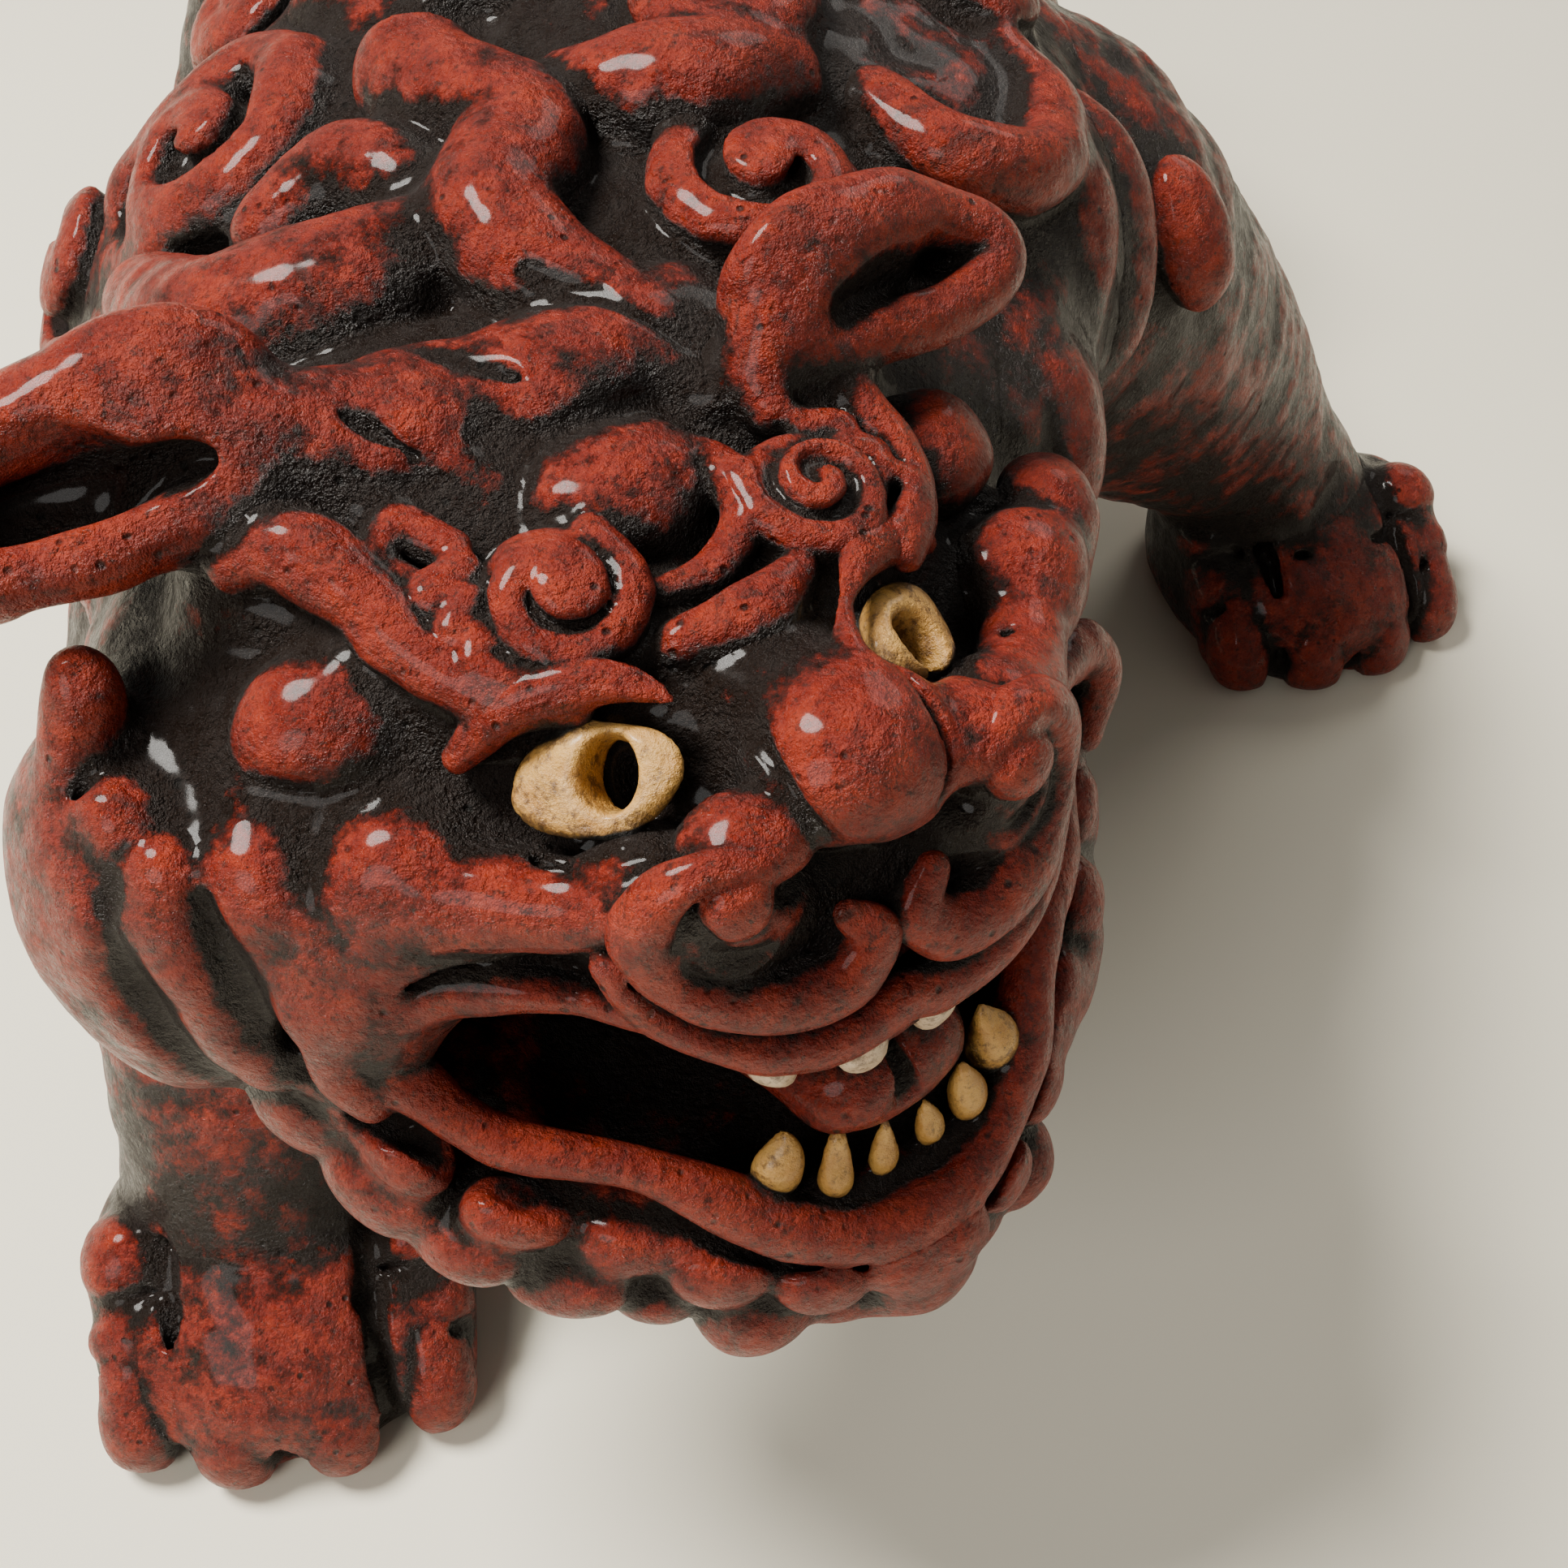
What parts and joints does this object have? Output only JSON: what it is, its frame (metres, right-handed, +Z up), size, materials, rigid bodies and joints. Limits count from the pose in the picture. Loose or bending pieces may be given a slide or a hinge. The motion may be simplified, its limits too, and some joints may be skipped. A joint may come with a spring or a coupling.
{
  "type": "guardian lion dog figure",
  "caption": "Striding guardian lion-dog figure with open jaws, pierced pupils, curled mane, splayed forelegs and an upright tail plume; stands on its paws.",
  "frame": {"origin": "on the floor under the middle of the figure's bounding box", "axes": "+Z up; the dog faces -Y; its left side is +X; nose to tail runs along Y"},
  "size_m": [0.2536, 0.3384, 0.1891],
  "materials": {
    "red_lacquer_paint": "glossy red over dark brown, rubbed",
    "ochre_paint": "ochre paint on eyes and lower teeth",
    "cream_paint": "cream paint on upper teeth"
  },
  "bodies": {
    "root": {"beard_curls": "red_lacquer_paint", "brow_curl_left": "red_lacquer_paint", "brow_curl_right": "red_lacquer_paint", "brow_ridge_left": "red_lacquer_paint", "brow_ridge_right": "red_lacquer_paint", "cheek_ball_left": "red_lacquer_paint", "cheek_ball_right": "red_lacquer_paint", "cheek_flame_left": "red_lacquer_paint", "cheek_flame_right": "red_lacquer_paint", "claws_front_left": "red_lacquer_paint", "claws_front_right": "red_lacquer_paint", "claws_hind_left": "red_lacquer_paint", "claws_hind_right": "red_lacquer_paint", "ear_left": "red_lacquer_paint", "ear_right": "red_lacquer_paint", "eye_left": "ochre_paint", "eye_right": "ochre_paint", "forehead_curl": "red_lacquer_paint", "head_shell": "red_lacquer_paint", "leg_front_left": "red_lacquer_paint", "leg_front_right": "red_lacquer_paint", "leg_hind_left": "red_lacquer_paint", "leg_hind_right": "red_lacquer_paint", "leg_tufts_front_left": "red_lacquer_paint", "leg_tufts_front_right": "red_lacquer_paint", "leg_tufts_hind_left": "red_lacquer_paint", "leg_tufts_hind_right": "red_lacquer_paint", "lower_fangs": "ochre_paint", "lower_incisors": "ochre_paint", "lower_jaw": "red_lacquer_paint", "mane_collar_curls": "red_lacquer_paint", "mane_crest_curls": "red_lacquer_paint", "mane_curls_left": "red_lacquer_paint", "mane_curls_right": "red_lacquer_paint", "mane_fringe_left": "red_lacquer_paint", "mane_fringe_right": "red_lacquer_paint", "mane_side_curls_left": "red_lacquer_paint", "mane_side_curls_right": "red_lacquer_paint", "moustache_curl_left": "red_lacquer_paint", "moustache_curl_right": "red_lacquer_paint", "muscle_boss_front_left": "red_lacquer_paint", "muscle_boss_front_right": "red_lacquer_paint", "muscle_boss_hind_left": "red_lacquer_paint", "muscle_boss_hind_right": "red_lacquer_paint", "muzzle": "red_lacquer_paint", "nose": "red_lacquer_paint", "paw_front_left": "red_lacquer_paint", "paw_front_right": "red_lacquer_paint", "paw_hind_left": "red_lacquer_paint", "paw_hind_right": "red_lacquer_paint", "rump_curls": "red_lacquer_paint", "tail_plume": "red_lacquer_paint", "tail_side_locks": "red_lacquer_paint", "tongue": "red_lacquer_paint", "trunk_shell_left": "red_lacquer_paint", "trunk_shell_right": "red_lacquer_paint", "upper_fangs": "cream_paint", "upper_incisors": "cream_paint"}
  },
  "joints": []
}
